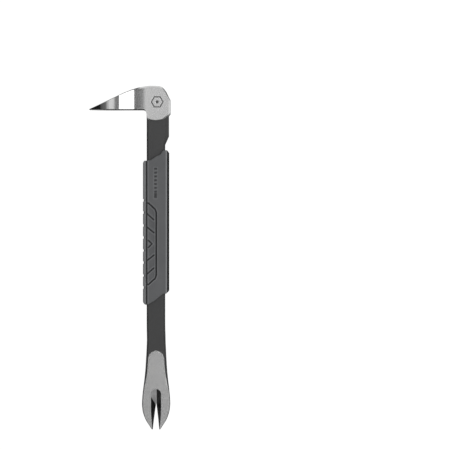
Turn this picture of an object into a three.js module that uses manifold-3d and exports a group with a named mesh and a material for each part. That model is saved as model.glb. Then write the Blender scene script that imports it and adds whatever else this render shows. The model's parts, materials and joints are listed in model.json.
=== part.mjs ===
// Nail-pulling pry bar: a one-piece steel forging with a bent head claw, a striking face, a shank and a
// straight claw, and a moulded grip: a sleeve, a notched tread strip, a back spine and two side pads.
// Millimetres. The bar lies on its side: +Y runs from the straight claw to the head, +Z is up, and the
// head claw points to -X. The numbers below count X from the straight claw's centre line and Y from its tips.
import * as THREE from "three";
import { mergeVertices } from "three/addons/utils/BufferGeometryUtils.js";
import Module from "manifold-3d";

const wasm = await Module();
wasm.setup();

// ---- driving dimensions ----
const LENGTH = 280;
const MID_Z = 10;
const PIECE_GAP = 0.3;

const SHANK = { left: -7.7, right: 7.2, bottom: 4, top: 16, chamfer: 1.4, straightFrom: 90 };
const UPPER_SHANK = { right: 10.3, chamfer: 2.9, chamferDepth: 1.6, from: 239, notchFrom: 232, to: 262 };

// Straight claw: [distance from the tips, half width] and [distance from the tips, thickness].
const CLAW_WIDTH = [
  [0, 3.5], [3.5, 5.7], [7.6, 8.3], [11.7, 10.0], [15.7, 11.0], [21, 11.45], [26, 11.2], [32, 10.6],
  [40, 9.6], [48, 8.8], [56.5, 8.25], [64, 7.85], [72, 7.5],
];
const CLAW_THICKNESS = [
  [0, 0.6], [8, 3.0], [16, 5.2], [20.6, 6.3], [26, 7.5], [32, 8.7], [40, 10.0], [48, 11.1], [56, 11.9],
  [64, 12.4], [72, 12.6],
];
const CLAW_EDGE = [[0, 0.1], [20, 0.4], [32, 0.5], [42, 1.2], [60, 1.4], [72, 1.4]];
const CLAW_END = 72;
const CLAW_TILT = 0.03;
const PAD = { top: 63.6, shoulder: 55.6, from: 33, border: 1.6, rise: 0.4, bevel: 0.5, root: 12.4 };
const FLUSH_FROM = 42;
const FLUSH_COVER = 0.05;

// Both claws are slotted by the same cutter: half width at the face, wall slope, and where its round end is.
const SLOT = { half: 4.1, halfAtTip: 3.0, bow: 0.15, straightFrom: 16, roundAt: 28.7, slope: 0.64, overrun: 1 };

// Head: [X, Y] along the top and along the underside, and [distance from the tips, half thickness].
const HEAD_TIP = -54.6;
const STRIKE_X = 11.5;
const UNDERSIDE = 260.6;
const HEAD_TOP = [
  [-54.6, 261.2], [-45.4, 265.2], [-36.4, 269.4], [-29.6, 272.7], [-25, 274.8], [-18.9, 277.2],
  [-10.1, 279.4], [-4.8, 280], [2, 279.8], [5, 278.8], [8.2, 275.2], [10.2, 271.3], [11.5, 268.8],
];
const HEAD_BOTTOM = [
  [-54.6, 260.6], [-10.8, 260.6], [-9.5, 260.2], [-8.5, 259.3], [-7.9, 258.1], [-7.6, 256.6], [-7.3, 253.5],
  [-4.9, 252], [0, 251.4], [4.8, 252.2], [8.1, 254.3], [10.2, 255.6], [11.5, 257.1],
];
const HEAD_WIDTH = [
  [0, 3.3], [3.5, 5.2], [7.6, 7.5], [11.7, 9.0], [15, 9.8], [18.2, 10.0], [24, 9.8], [26, 9.6], [36, 8.3],
  [38, 8.15], [47, 7.8], [64.8, 7.8], [66.1, 6.9],
];
const HEAD_TOP_CHAMFER = [[0, 0.1], [14, 0.5], [40, 0.9], [46, 1.8], [64.8, 1.8], [66.1, 1.2]];
const CHAMFER_DEPTH = 0.5;
const HEAD_BOTTOM_CHAMFER = [[0, 0.1], [14, 0.3], [44, 0.4], [48, 0.8], [66.1, 0.8]];

// Grip: outline seen from above, moulded round the shank between two slanted ends.
const GRIP = { left: -10.6, right: 10.4, bottom: 0, top: 20, corner: 2.2, frontCorner: 0.9, bevel: 0.8 };
const GRIP_TOP_END = [
  [10.4, 225.9], [9.2, 227.4], [6.8, 227.4], [4.9, 226.2], [4, 224.5], [2.6, 223.5], [0, 222.3], [-2.6, 220.6],
  [-3.9, 219.6], [-4.9, 219.2], [-9.4, 218.9], [-10.6, 217.5],
];
const GRIP_BOTTOM_END = [
  [-10.6, 103.5], [-9.4, 102.2], [-8, 101.5], [-5.7, 102.1], [-1.9, 104.3], [1.6, 107], [4.8, 109.7],
  [5.9, 110.4], [7.3, 110.4], [9.2, 111.1], [10.4, 112.4],
];
const TREAD = { edge: -8.2, grooveTo: -7.2, grooveDepth: 1 };
const TONGUE = { from: 103.5, to: 217.5, left: -9.4, right: -8, inset: 4.3 };
const SPINE = { left: 9.1 };
const NOTCH = { depth: 1, height: 1.9, slant: 0.4, middle: 151.1, offsets: [5.3, 15.1, 25.6, 35.4] };

// Y range that reaches past both ends of the grip.
const GRIP_REACH = [99, 230];

// Side pads: the centre line of the groove round them, and the slanted grooves across them, mirrored in
// the middle of the grip.
const PAD_GROOVE = [
  [-7.6, 184.5], [-6.2, 184.4], [-0.7, 179.2], [0.2, 176.6], [0.2, 125.6], [-0.7, 123], [-6.2, 118.1],
  [-7.6, 117.9],
];
const SIDE_PAD = { groove: 1, floor: 17.4, top: 19.8, bevel: 0.3 };
const PAD_LINES = [[-8.2, 25.4, -1.9, 19.7], [-8.2, 14.3, -1.7, 9.1], [-6.3, 2.9, -3.3, 0]];
const PAD_LINE = { width: 0.9, depth: 0.5 };

const COLOURS = { steel: 0xb9bcbd, rubber: 0x5c5f61, tread: 0x6d7072, sidePad: 0x55585a, spine: 0x161717 };

// ---- helpers ----

// Value at x of a smooth curve through the [x, value] pairs of a table.
function along(table, x) {
  const last = table.length - 1;
  if (x <= table[0][0]) return table[0][1];
  if (x >= table[last][0]) return table[last][1];
  const i = table.findIndex((row) => row[0] >= x) - 1;
  const [x0, y0] = table[i];
  const [x1, y1] = table[i + 1];
  const rise = (a, b) => (b[1] - a[1]) / (b[0] - a[0]);
  const here = rise(table[i], table[i + 1]);
  const slopeIn = i > 0 ? limitedSlope(rise(table[i - 1], table[i]), here) : here;
  const slopeOut = i + 2 <= last ? limitedSlope(here, rise(table[i + 1], table[i + 2])) : here;
  const step = x1 - x0;
  const t = (x - x0) / step;
  const u = 1 - t;
  return y0 * (1 + 2 * t) * u * u + slopeIn * step * t * u * u
    + y1 * (3 - 2 * t) * t * t - slopeOut * step * t * t * u;
}

// Slope at a table's point that never overshoots: zero where the curve turns.
function limitedSlope(before, after) {
  return before * after <= 0 ? 0 : (2 * before * after) / (before + after);
}

// Evenly spaced numbers from a to b, both included.
function steps(a, b, count) {
  return Array.from({ length: count + 1 }, (_, i) => a + ((b - a) * i) / count);
}

// A closed solid from three.js geometry.
function solid(geometry) {
  const bare = geometry.index ? geometry.toNonIndexed() : geometry.clone();
  bare.deleteAttribute("normal");
  bare.deleteAttribute("uv");
  const merged = mergeVertices(bare, 1e-4);
  return new wasm.Manifold(
    new wasm.Mesh({
      numProp: 3,
      vertProperties: merged.attributes.position.array,
      triVerts: new Uint32Array(merged.index.array),
    }),
  );
}

// A solid through a row of convex sections with the same number of points, each anticlockwise as seen
// from the far end.
function loft(sections) {
  const count = sections[0].length;
  const corners = [];
  const addTriangle = (a, b, c) => corners.push(...a, ...b, ...c);
  for (let s = 0; s + 1 < sections.length; s += 1) {
    for (let i = 0; i < count; i += 1) {
      const j = (i + 1) % count;
      addTriangle(sections[s][i], sections[s][j], sections[s + 1][j]);
      addTriangle(sections[s][i], sections[s + 1][j], sections[s + 1][i]);
    }
  }
  const first = sections[0];
  const last = sections[sections.length - 1];
  for (let i = 1; i + 1 < count; i += 1) {
    addTriangle(first[0], first[i + 1], first[i]);
    addTriangle(last[0], last[i], last[i + 1]);
  }
  const geometry = new THREE.BufferGeometry();
  geometry.setAttribute("position", new THREE.Float32BufferAttribute(corners, 3));
  return solid(geometry);
}

// A block between two corners.
function block(x0, x1, y0, y1, z0, z1) {
  const box = new THREE.BoxGeometry(x1 - x0, y1 - y0, z1 - z0);
  box.translate((x0 + x1) / 2, (y0 + y1) / 2, (z0 + z1) / 2);
  return solid(box);
}

// An outline in X and Y extruded from z0 to z1 with its edges bevelled, moved outwards by offset.
function plate(points, z0, z1, bevel, offset) {
  const shape = new THREE.Shape(points.map(([x, y]) => new THREE.Vector2(x, y)));
  const geometry = new THREE.ExtrudeGeometry(shape, {
    depth: z1 - z0 - 2 * bevel,
    bevelEnabled: true,
    bevelThickness: bevel,
    bevelSize: bevel,
    bevelOffset: offset - bevel,
    bevelSegments: 2,
    curveSegments: 1,
  });
  geometry.translate(0, 0, z0 + bevel);
  return solid(geometry);
}

// A section in X and Z extruded along Y from y0 to y1.
function prismAlongY(shape, y0, y1) {
  const geometry = new THREE.ExtrudeGeometry(shape, {
    depth: y1 - y0,
    bevelEnabled: false,
    curveSegments: 6,
  });
  geometry.rotateX(Math.PI / 2);
  geometry.translate(0, y1, 0);
  return solid(geometry);
}

// A bar between two points in X and Y, from z0 to z1.
function rib([x0, y0, x1, y1], width, z0, z1) {
  const length = Math.hypot(x1 - x0, y1 - y0);
  const box = new THREE.BoxGeometry(length + width, width, z1 - z0);
  box.rotateZ(Math.atan2(y1 - y0, x1 - x0));
  box.translate((x0 + x1) / 2, (y0 + y1) / 2, (z0 + z1) / 2);
  return solid(box);
}

// A solid's copy mirrored in the plane of the bar's middle.
function otherSide(body) {
  return body.translate([0, 0, -MID_Z]).mirror([0, 0, 1]).translate([0, 0, MID_Z]);
}

// A named mesh with its own material.
function part(name, body, colour, roughness, metalness) {
  const made = body.getMesh();
  const geometry = new THREE.BufferGeometry();
  geometry.setAttribute("position", new THREE.BufferAttribute(made.vertProperties, 3));
  geometry.setIndex(new THREE.BufferAttribute(made.triVerts, 1));
  geometry.computeVertexNormals();
  const material = new THREE.MeshStandardMaterial({ color: colour, roughness, metalness });
  const mesh = new THREE.Mesh(geometry, material);
  mesh.name = name;
  return mesh;
}

// ---- forged bar ----

// Eight-sided section across the bar at height y: left and right chamfers differ.
function barSection(y, left, right, bottom, top, chamferLeft, chamferRight, drop) {
  return [
    [left + chamferLeft, y, top],
    [right - chamferRight, y, top],
    [right, y, top - drop],
    [right, y, bottom + drop],
    [right - chamferRight, y, bottom],
    [left + chamferLeft, y, bottom],
    [left, y, bottom + chamferLeft],
    [left, y, top - chamferLeft],
  ];
}

// Height of the straight claw's ground face.
function faceHeight(y) {
  return SHANK.top + PAD.rise + CLAW_TILT * Math.max(0, PAD.top - y);
}

// Height of the claw beside and under the ground pad: sunk at the shank's end, flush towards the tips.
function clawTop(y) {
  const sunk = THREE.MathUtils.smoothstep(y, PAD.from + 1, FLUSH_FROM);
  return THREE.MathUtils.lerp(faceHeight(y) + FLUSH_COVER, faceHeight(y) - PAD.rise, sunk);
}

function clawSection(y) {
  const half = along(CLAW_WIDTH, y);
  const top = clawTop(y);
  const bottom = Math.max(SHANK.bottom, faceHeight(y) - along(CLAW_THICKNESS, y));
  const edge = along(CLAW_EDGE, y);
  return barSection(y, -half, half, bottom, top, edge, edge, edge);
}

function shankSection(y) {
  const rise = (y - UPPER_SHANK.notchFrom) / (UPPER_SHANK.from - UPPER_SHANK.notchFrom);
  const wide = THREE.MathUtils.clamp(rise, 0, 1);
  const right = THREE.MathUtils.lerp(SHANK.right, UPPER_SHANK.right, wide);
  const chamferRight = THREE.MathUtils.lerp(SHANK.chamfer, UPPER_SHANK.chamfer, wide);
  const drop = THREE.MathUtils.lerp(SHANK.chamfer, UPPER_SHANK.chamferDepth, wide);
  return barSection(y, SHANK.left, right, SHANK.bottom, SHANK.top, SHANK.chamfer, chamferRight, drop);
}

function shankAndClaw() {
  const clawStations = steps(0, CLAW_END, 48);
  const shankStations = [SHANK.straightFrom, UPPER_SHANK.notchFrom, UPPER_SHANK.from, UPPER_SHANK.to];
  return loft([...clawStations.map(clawSection), ...shankStations.map(shankSection)]);
}

// Ground face of the straight claw, with a rounded top and a bevelled rim.
function groundPad() {
  const sides = steps(PAD.from, PAD.shoulder, 12);
  const halfAt = (y) => along(CLAW_WIDTH, y) - PAD.border;
  const arch = steps(0, Math.PI, 14).map((turn) => [
    halfAt(PAD.shoulder) * Math.cos(turn),
    PAD.shoulder + (PAD.top - PAD.shoulder) * Math.sin(turn) ** 0.8,
  ]);
  const outline = [
    ...sides.slice(0, -1).map((y) => [halfAt(y), y]),
    ...arch,
    ...sides.slice(0, -1).reverse().map((y) => [-halfAt(y), y]),
  ];
  const shape = new THREE.Shape(outline.map(([x, y]) => new THREE.Vector2(x, y)));
  const geometry = new THREE.ExtrudeGeometry(shape, {
    depth: SHANK.top - PAD.root,
    bevelEnabled: true,
    bevelThickness: PAD.rise,
    bevelSize: PAD.bevel,
    bevelOffset: -PAD.bevel,
    bevelSegments: 1,
  });
  geometry.translate(0, 0, PAD.root);
  const tilt = new THREE.Matrix4().makeShear(0, 0, 0, -CLAW_TILT, 0, 0);
  tilt.setPosition(0, 0, CLAW_TILT * PAD.top);
  geometry.applyMatrix4(tilt);
  return solid(geometry);
}

function headSection(x) {
  const fromTip = x - HEAD_TIP;
  const top = along(HEAD_TOP, x);
  const bottom = along(HEAD_BOTTOM, x);
  const half = along(HEAD_WIDTH, fromTip);
  const edgeTop = along(HEAD_TOP_CHAMFER, fromTip);
  const edgeBottom = along(HEAD_BOTTOM_CHAMFER, fromTip);
  const low = MID_Z - half;
  const high = MID_Z + half;
  return [
    [x, top - edgeTop, high],
    [x, bottom + edgeBottom, high],
    [x, bottom, high - edgeBottom],
    [x, bottom, low + edgeBottom],
    [x, bottom + edgeBottom, low],
    [x, top - edgeTop, low],
    [x, top, low + edgeTop * CHAMFER_DEPTH],
    [x, top, high - edgeTop * CHAMFER_DEPTH],
  ];
}

function head() {
  const clawStations = steps(HEAD_TIP, -12, 30);
  const fillet = [-10.8, -10.1, -9.5, -9, -8.5, -8.2, -7.9, -7.6, -7.3, -6.2];
  const blockStations = [-4.9, -2.5, 0, 2, 3.6, 5, 6.1, 7.2, 8.2, 9.2, 10.2, 10.9, STRIKE_X];
  return loft([...clawStations, ...fillet, ...blockStations].map(headSection));
}

// The V slot's cutter in its own frame: X from the tips along the slot, Y across it, Z out of the face.
function slotCutter() {
  const section = (x, half) => [
    [x, -half - SLOT.slope * SLOT.overrun, SLOT.overrun],
    [x, 0, -half / SLOT.slope],
    [x, half + SLOT.slope * SLOT.overrun, SLOT.overrun],
  ];
  const valley = loft([
    section(-2, SLOT.halfAtTip),
    section(0, SLOT.halfAtTip),
    section(SLOT.straightFrom / 2, (SLOT.half + SLOT.halfAtTip) / 2 + SLOT.bow),
    section(SLOT.straightFrom, SLOT.half),
    section(SLOT.roundAt, SLOT.half),
  ]);
  const rim = SLOT.half + SLOT.slope * SLOT.overrun;
  const depth = rim / SLOT.slope;
  const cone = new THREE.ConeGeometry(rim, depth, 40);
  cone.rotateX(-Math.PI / 2);
  cone.translate(SLOT.roundAt, 0, SLOT.overrun - depth / 2);
  return valley.add(solid(cone));
}

// The cutter set on the straight claw's tilted face.
function straightClawSlot() {
  const tiltAngle = (Math.atan(CLAW_TILT) * 180) / Math.PI;
  return slotCutter().rotate([0, 0, 90]).rotate([-tiltAngle, 0, 0]).translate([0, 0, faceHeight(0)]);
}

// The cutter set on the head claw's underside.
function headClawSlot() {
  return slotCutter().rotate([90, 0, 0]).translate([HEAD_TIP, UNDERSIDE, MID_Z]);
}

function forgedBar() {
  const forging = shankAndClaw().add(groundPad()).add(head());
  return forging.subtract(straightClawSlot()).subtract(headClawSlot());
}

// ---- grip ----

// Section of the grip across the bar: small corners at the front edge, larger ones at the back.
function gripSection() {
  const { left, right, bottom, top, corner, frontCorner } = GRIP;
  const shape = new THREE.Shape();
  shape.moveTo(left + frontCorner, bottom);
  shape.lineTo(right - corner, bottom);
  shape.absarc(right - corner, bottom + corner, corner, -Math.PI / 2, 0);
  shape.absarc(right - corner, top - corner, corner, 0, Math.PI / 2);
  shape.lineTo(left + frontCorner, top);
  shape.absarc(left + frontCorner, top - frontCorner, frontCorner, Math.PI / 2, Math.PI);
  shape.absarc(left + frontCorner, bottom + frontCorner, frontCorner, Math.PI, Math.PI * 1.5);
  return shape;
}

// The grip's outer shape before it is divided into its mouldings.
function gripEnvelope() {
  const sides = plate([...GRIP_TOP_END, ...GRIP_BOTTOM_END], GRIP.bottom, GRIP.top, GRIP.bevel, 0);
  return sides.intersect(prismAlongY(gripSection(), ...GRIP_REACH));
}

// A block past both ends of the grip, between two X positions and two heights.
function gripSlice(x0, x1, z0, z1) {
  return block(x0, x1, ...GRIP_REACH, z0, z1);
}

// A pad's outline between two heights, wider or narrower than its groove's centre line by offset.
function padPlate(z0, z1, bevel, offset) {
  return plate(PAD_GROOVE, z0, z1, bevel, offset);
}

function gripBody() {
  const outside = GRIP.left - 1;
  const above = GRIP.top + 1;
  const treadRoom = gripSlice(outside, TREAD.edge + PIECE_GAP, GRIP.bottom - 1, above);
  const bore = gripSlice(outside, SHANK.right + PIECE_GAP, SHANK.bottom - PIECE_GAP, SHANK.top + PIECE_GAP);
  const groove = gripSlice(outside, TREAD.grooveTo, GRIP.top - TREAD.grooveDepth, above);
  const pocket = padPlate(SIDE_PAD.floor, above, SIDE_PAD.bevel, SIDE_PAD.groove / 2);
  const spineRoom = gripSlice(SPINE.left - PIECE_GAP, GRIP.right + 1, GRIP.bottom - 1, above);
  return [treadRoom, bore, groove, otherSide(groove), pocket, otherSide(pocket), spineRoom].reduce(
    (body, room) => body.subtract(room),
    gripEnvelope(),
  );
}

function backSpine() {
  return gripEnvelope().intersect(gripSlice(SPINE.left, GRIP.right + 1, GRIP.bottom - 1, GRIP.top + 1));
}

// One notch across the tread's front edge, wider at its mouth.
function notch(y) {
  const half = NOTCH.height / 2;
  const floor = GRIP.left + NOTCH.depth;
  const outline = [
    [GRIP.left - 1, y - half - NOTCH.slant],
    [floor, y - half + NOTCH.slant],
    [floor, y + half - NOTCH.slant],
    [GRIP.left - 1, y + half + NOTCH.slant],
  ];
  return plate(outline, GRIP.bottom - 1, GRIP.top + 1, 0.01, 0);
}

function frontTread() {
  const strip = gripSlice(GRIP.left - 1, TREAD.edge, GRIP.bottom - 1, GRIP.top + 1);
  const tongue = block(
    TONGUE.left, TONGUE.right, TONGUE.from, TONGUE.to, TONGUE.inset, GRIP.top - TONGUE.inset,
  );
  const notches = NOTCH.offsets.flatMap((offset) => [NOTCH.middle - offset, NOTCH.middle + offset]);
  return notches.reduce(
    (body, y) => body.subtract(notch(y)),
    gripEnvelope().intersect(strip).add(tongue),
  );
}

function sidePad() {
  const blank = padPlate(SIDE_PAD.floor + PIECE_GAP, SIDE_PAD.top, SIDE_PAD.bevel, -SIDE_PAD.groove / 2);
  const lines = PAD_LINES.flatMap(([x0, up0, x1, up1]) => [
    [x0, NOTCH.middle + up0, x1, NOTCH.middle + up1],
    [x0, NOTCH.middle - up0, x1, NOTCH.middle - up1],
  ]);
  return lines.reduce(
    (body, line) => body.subtract(rib(line, PAD_LINE.width, SIDE_PAD.top - PAD_LINE.depth, GRIP.top + 1)),
    blank,
  );
}

// ---- assembly ----
const pryBar = new THREE.Group();
pryBar.name = "pry_bar";
pryBar.add(part("forged_bar", forgedBar(), COLOURS.steel, 0.35, 0.9));
pryBar.add(part("grip_body", gripBody(), COLOURS.rubber, 0.8, 0));
pryBar.add(part("front_tread", frontTread(), COLOURS.tread, 0.8, 0));
pryBar.add(part("back_spine", backSpine(), COLOURS.spine, 0.8, 0));
pryBar.add(part("side_pad_front", sidePad(), COLOURS.sidePad, 0.85, 0));
pryBar.add(part("side_pad_back", otherSide(sidePad()), COLOURS.sidePad, 0.85, 0));

// The origin is under the middle of the box round the bar, on the surface that it lies on.
pryBar.position.set(-(HEAD_TIP + STRIKE_X) / 2, -LENGTH / 2, 0);

export default pryBar;
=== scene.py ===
"""Looks for the pry bar: a forged nail puller with ground claws, black painted shank and a moulded grip."""

import json
import math

import bpy
import numpy as np
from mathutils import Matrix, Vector

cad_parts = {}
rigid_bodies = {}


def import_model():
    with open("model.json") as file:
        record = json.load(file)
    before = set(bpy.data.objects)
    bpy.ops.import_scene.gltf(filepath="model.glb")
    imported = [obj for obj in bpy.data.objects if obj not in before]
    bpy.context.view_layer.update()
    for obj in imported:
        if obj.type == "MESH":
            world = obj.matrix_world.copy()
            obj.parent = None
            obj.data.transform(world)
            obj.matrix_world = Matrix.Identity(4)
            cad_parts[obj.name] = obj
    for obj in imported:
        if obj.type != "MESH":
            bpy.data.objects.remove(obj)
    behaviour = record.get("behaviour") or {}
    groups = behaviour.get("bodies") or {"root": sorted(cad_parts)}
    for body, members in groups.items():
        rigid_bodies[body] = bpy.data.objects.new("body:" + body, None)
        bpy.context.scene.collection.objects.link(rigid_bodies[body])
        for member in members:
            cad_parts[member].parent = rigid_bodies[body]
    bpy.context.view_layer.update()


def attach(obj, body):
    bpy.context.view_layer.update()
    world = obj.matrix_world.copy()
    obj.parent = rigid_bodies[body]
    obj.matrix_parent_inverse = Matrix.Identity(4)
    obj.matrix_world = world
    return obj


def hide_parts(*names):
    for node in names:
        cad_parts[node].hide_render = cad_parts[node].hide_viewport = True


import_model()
scene = bpy.context.scene

# ---- driving dimensions, in millimetres: X from the straight claw's centre line, Y from its tips ----
ORIGIN_X, ORIGIN_Y = -21.55, 140.0
MID_Z = 10.0

SHANK_LEFT, SHANK_RIGHT = -7.7, 7.2
SHANK_LOW, SHANK_HIGH = 4.0, 16.0
SHANK_CHAMFER = 1.4
CORNER_SOFTENING = 0.1
UPPER_RIGHT, UPPER_CHAMFER, UPPER_DROP = 10.3, 2.9, 1.6
NOTCH_LOW, NOTCH_HIGH, SHANK_TOP = 232.0, 239.0, 262.0

CLAW_TOP, SHANK_SETTLED, ROW_STEP = 72.0, 86.0, 0.6
CLAW_WIDTH = [
    (0, 3.45), (1.5, 4.45), (3.5, 5.7), (7.6, 8.3), (11.7, 10.0), (15.7, 11.0), (21, 11.45), (26, 11.2),
    (32, 10.6), (40, 9.6), (48, 8.8), (56.5, 8.25), (64, 7.85), (72, 7.5),
]
CLAW_THICKNESS = [
    (0, 0.6), (8, 3.0), (16, 5.2), (20.6, 6.3), (26, 7.5), (32, 8.7), (40, 10.0), (48, 11.1), (56, 11.9),
    (64, 12.4), (72, 12.6),
]
CLAW_EDGE = [(0, 0.1), (8, 0.55), (20, 0.8), (32, 0.9), (42, 1.2), (60, 1.4), (72, 1.4)]
CLAW_TILT = 0.03
# [y, width]: the black-painted border along the edges of the ground face: the shank's paint higher up, and
# beside the tips a thin line of black paint that is painted shade on the edge chamfer
PAINT_AND_SHADE_BORDER = [(0, 0.3), (12, 0.4), (26, 0.45), (32, 0.5), (36, 0.75), (41, 1.15), (46, 1.4), (72, 1.4)]
PAD_TOP, PAD_SHOULDER, PAD_MARGIN, PAD_RISE, PAD_STEP = 63.6, 55.6, 0.15, 0.4, (36.0, 37.5)
ARCH_FROM = 47.6
SIDES_GROUND_TO = (33.0, 36.0)

SLOT_HALF, SLOT_HALF_AT_TIP, SLOT_STRAIGHT_FROM, SLOT_ROUND_AT = 4.1, 3.0, 16.0, 28.7
SLOT_SLOPE, SLOT_OVERRUN = 0.64, 1.0

HEAD_TIP, STRIKE_X, UNDERSIDE = -54.6, 11.5, 260.6
HEAD_TOP = [
    (-54.6, 261.2), (-45.4, 265.2), (-36.4, 269.4), (-29.6, 272.7), (-25, 274.8), (-18.9, 277.2),
    (-10.1, 279.4), (-4.8, 280), (2, 279.8), (5, 278.8), (8.2, 275.2), (10.2, 271.3), (11.5, 268.8),
]
HEAD_BOTTOM = [
    (-54.6, 260.6), (-10.8, 260.6), (-9.5, 260.2), (-8.5, 259.3), (-7.9, 258.1), (-7.6, 256.6),
    (-7.3, 253.5), (-4.9, 252), (0, 251.4), (4.8, 252.2), (8.1, 254.3), (10.2, 255.6), (11.5, 257.1),
]
HEAD_WIDTH = [
    (0, 3.3), (3.5, 5.2), (7.6, 7.5), (11.7, 9.0), (15, 9.8), (18.2, 10.0), (24, 9.8), (26, 9.6),
    (36, 8.3), (38, 8.15), (47, 7.8), (64.8, 7.8), (66.1, 6.9),
]
HEAD_TOP_CHAMFER = [(0, 0.1), (14, 0.5), (40, 0.9), (46, 1.8), (64.8, 1.8), (66.1, 1.2)]
CHAMFER_DEPTH, CLAW_CHAMFER_DEPTH = 0.5, 1.1
STRIP_FROM = 64.8
HEAD_BOTTOM_CHAMFER = [(0, 0.1), (14, 0.3), (44, 0.4), (48, 0.8), (66.1, 0.8)]

GRIP_LEFT, GRIP_RIGHT, GRIP_HIGH = -10.6, 10.4, 20.0
GRIP_CORNER, GRIP_FRONT_CORNER, GRIP_END_ROUND = 2.2, 0.9, 0.9
GRIP_TOP_END = [
    (-10.6, 217.9), (-9.6, 218.8), (-8.2, 218.9), (-4.9, 219.2), (-3.9, 219.6), (-2.6, 220.6),
    (-1.3, 221.5), (0, 222.3), (2.6, 223.5), (4, 224.5), (4.9, 226.2), (6.8, 227.4), (9.2, 227.4),
    (10.4, 226.2),
]
GRIP_BOTTOM_END = [
    (-10.6, 103.2), (-9.6, 102.2), (-8, 101.5), (-7.2, 101.6), (-5.7, 102.1), (-3.9, 103.2), (-1.9, 104.3),
    (0, 105.6), (1.6, 107), (3.2, 108.4), (4.8, 109.7), (5.9, 110.4), (7.3, 110.4), (9.2, 111.1),
    (10.4, 112.1),
]
GRIP_MIDDLE = 151.1
GRIP_ROWS = 262
# Where the rings of the grip's end faces lie, as shares of the way in to the shank
CAP_SHARES = (0.34, 0.67, 1.0)
CAP_ROWS = len(CAP_SHARES)
NOTCHES = (5.3, 15.1, 25.6, 35.4)
NOTCH_DEPTH, NOTCH_FLOOR, NOTCH_RIM = 1.15, 0.5, 1.05
TREAD_GROOVE_X = -7.7
SPINE_EDGE_X, SEAM_HALF, SEAM_DEPTH = 9.1, 0.3, 0.15
MOULDING_WALL, LIP_HEIGHT = 0.7, 0.1
PAD_SINK, PAD_DISH, PAD_REACH = 0.12, 0.4, 33.35
# [half width, depth] of the moulded grooves
TREAD_GROOVE, PAD_EDGE_GROOVE, PAD_LINE_GROOVE, TICK_GROOVE = (0.8, 1.2), (0.7, 1.0), (0.75, 0.8), (0.8, 0.6)
TICK_X, TICK_FROM, TICK_PITCH, TICK_COUNT = -0.4, 190.5, 3.1, 8
TICK_HALF_WIDTH, TICK_HALF_HEIGHT, FIRST_TICK_HALF_HEIGHT, TICK_ROUND = 1.15, 0.8, 2.2, 0.7
# Slant, edge and side limit of the painted highlight in the straight claw's slot.
GLINT_SPOT_SLANT, GLINT_SPOT_EDGE, GLINT_SPOT_X = 1.9, 18.85, 0.45
MARK_X, MARK_Y, MARK_RADIUS, MARK_LINE, MARK_DOT = 0.8, 266.8, 4.1, 0.5, 1.25
HEAD_SIDE_FROM = 7.6
SATIN_FROM, SATIN_FULL = -16.0, -3.0
PAD_GROOVE = [
    (-7.7, 184.5), (-6.2, 184.4), (-0.7, 179.2), (0.2, 176.6), (0.2, 125.6), (-0.7, 123), (-6.2, 118.1),
    (-7.7, 117.9),
]
PAD_LINES = [(-7.7, 24.9, -1.9, 19.7), (-7.7, 13.9, -1.7, 9.1), (-6.3, 2.9, -3.3, 0.0)]


# ---- helpers ----
def along(table, x):
    """A smooth curve through a table's points that never overshoots, at every x."""
    t = np.asarray(table, float)
    px, py = t[:, 0], t[:, 1]
    rise = np.diff(py) / np.diff(px)
    slope = np.empty(len(px))
    slope[0], slope[-1] = rise[0], rise[-1]
    before, after = rise[:-1], rise[1:]
    total = before + after
    same = before * after > 0
    slope[1:-1] = np.where(same, 2 * before * after / np.where(same, total, 1), 0)
    x = np.clip(np.asarray(x, float), px[0], px[-1])
    i = np.clip(np.searchsorted(px, x) - 1, 0, len(px) - 2)
    step = px[i + 1] - px[i]
    u = (x - px[i]) / step
    w = 1 - u
    return (
        py[i] * (1 + 2 * u) * w**2
        + slope[i] * step * u * w**2
        + py[i + 1] * (3 - 2 * u) * u**2
        - slope[i + 1] * step * u**2 * w
    )


def smooth(x, low, high):
    """0 below low, 1 above high, smooth between."""
    t = np.clip((np.asarray(x, float) - low) / (high - low), 0, 1)
    return t * t * (3 - 2 * t)


def to_row(points):
    """Millimetres in the bar's own numbers to metres in the row frame."""
    p = np.asarray(points, float).copy()
    p[..., 0] -= ORIGIN_X
    p[..., 1] -= ORIGIN_Y
    return p / 1000


def new_object(name, points, faces):
    """A mesh object from points in the bar's own numbers."""
    mesh = bpy.data.meshes.new(name)
    mesh.from_pydata([tuple(p) for p in to_row(points)], [], [tuple(int(i) for i in f) for f in faces])
    mesh.validate()
    mesh.update()
    obj = bpy.data.objects.new(name, mesh)
    scene.collection.objects.link(obj)
    return obj


def tube_faces(rows, columns):
    """Quads of a grid whose columns close on themselves."""
    r, c = np.meshgrid(np.arange(rows - 1), np.arange(columns), indexing="ij")
    n = (c + 1) % columns
    here, above = r * columns, (r + 1) * columns
    return np.stack([here + c, here + n, above + n, above + c], -1).reshape(-1, 4)


def lofted(name, rings):
    """A closed object through rings of points, capped with a face at each end."""
    rows, columns = rings.shape[:2]
    faces = [tuple(f) for f in tube_faces(rows, columns)]
    faces.append(tuple(range(columns))[::-1])
    faces.append(tuple(range((rows - 1) * columns, rows * columns)))
    return new_object(name, rings.reshape(-1, 3), faces)


def outward(obj):
    """Turns every face outward."""
    bpy.context.view_layer.objects.active = obj
    for o in scene.objects:
        o.select_set(o == obj)
    bpy.ops.object.mode_set(mode="EDIT")
    bpy.ops.mesh.select_all(action="SELECT")
    bpy.ops.mesh.normals_make_consistent(inside=False)
    bpy.ops.object.mode_set(mode="OBJECT")


def apply_modifiers(obj):
    """Bakes the object's modifiers into its mesh."""
    depsgraph = bpy.context.evaluated_depsgraph_get()
    mesh = bpy.data.meshes.new_from_object(obj.evaluated_get(depsgraph))
    obj.modifiers.clear()
    obj.data = mesh


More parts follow.
